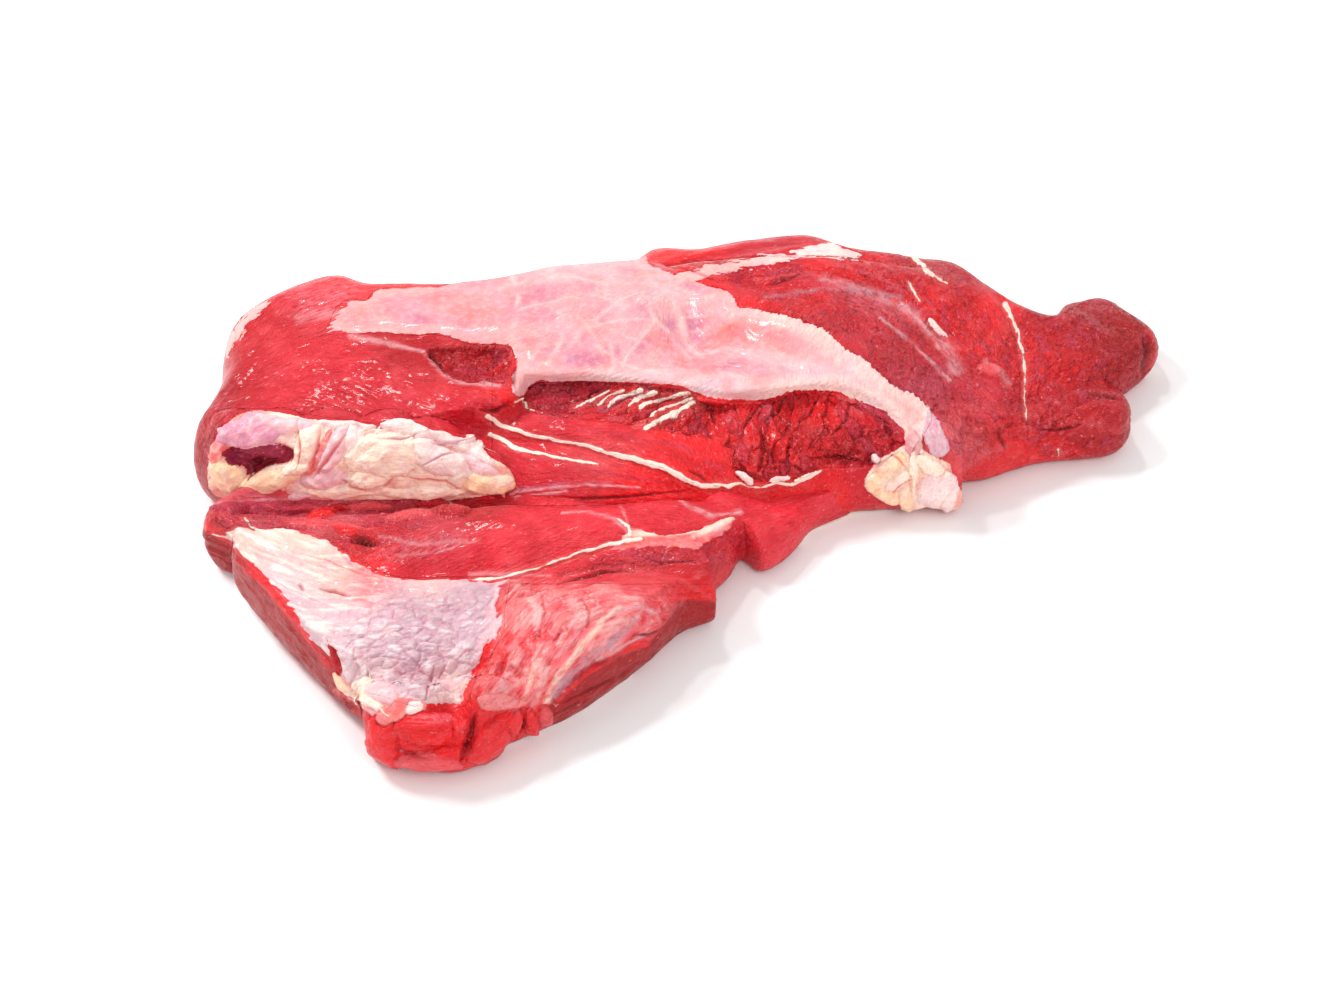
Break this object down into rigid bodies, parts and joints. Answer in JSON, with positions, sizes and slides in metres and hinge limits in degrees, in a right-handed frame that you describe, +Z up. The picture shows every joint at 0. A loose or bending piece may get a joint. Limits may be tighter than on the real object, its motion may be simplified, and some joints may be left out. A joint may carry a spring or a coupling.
{
  "type": "raw boneless beef slab",
  "caption": "Raw boneless slab of beef: a thick body tapering to a thin tail, grown together with a triangular flap, with pale skin, fat seams and lumps of fat.",
  "frame": {"origin": "centre of the bounding box at the underside, on the surface that the slab lies on", "axes": "+X along the slab from its blunt end to its thin tail, +Y from the flap to the back edge, +Z up"},
  "size_m": [0.4438, 0.33, 0.0547],
  "materials": {
    "raw_beef": "moist, uneven, with pale skin and cream fat"
  },
  "bodies": {
    "root": {"beef_slab": "raw_beef"}
  },
  "joints": []
}
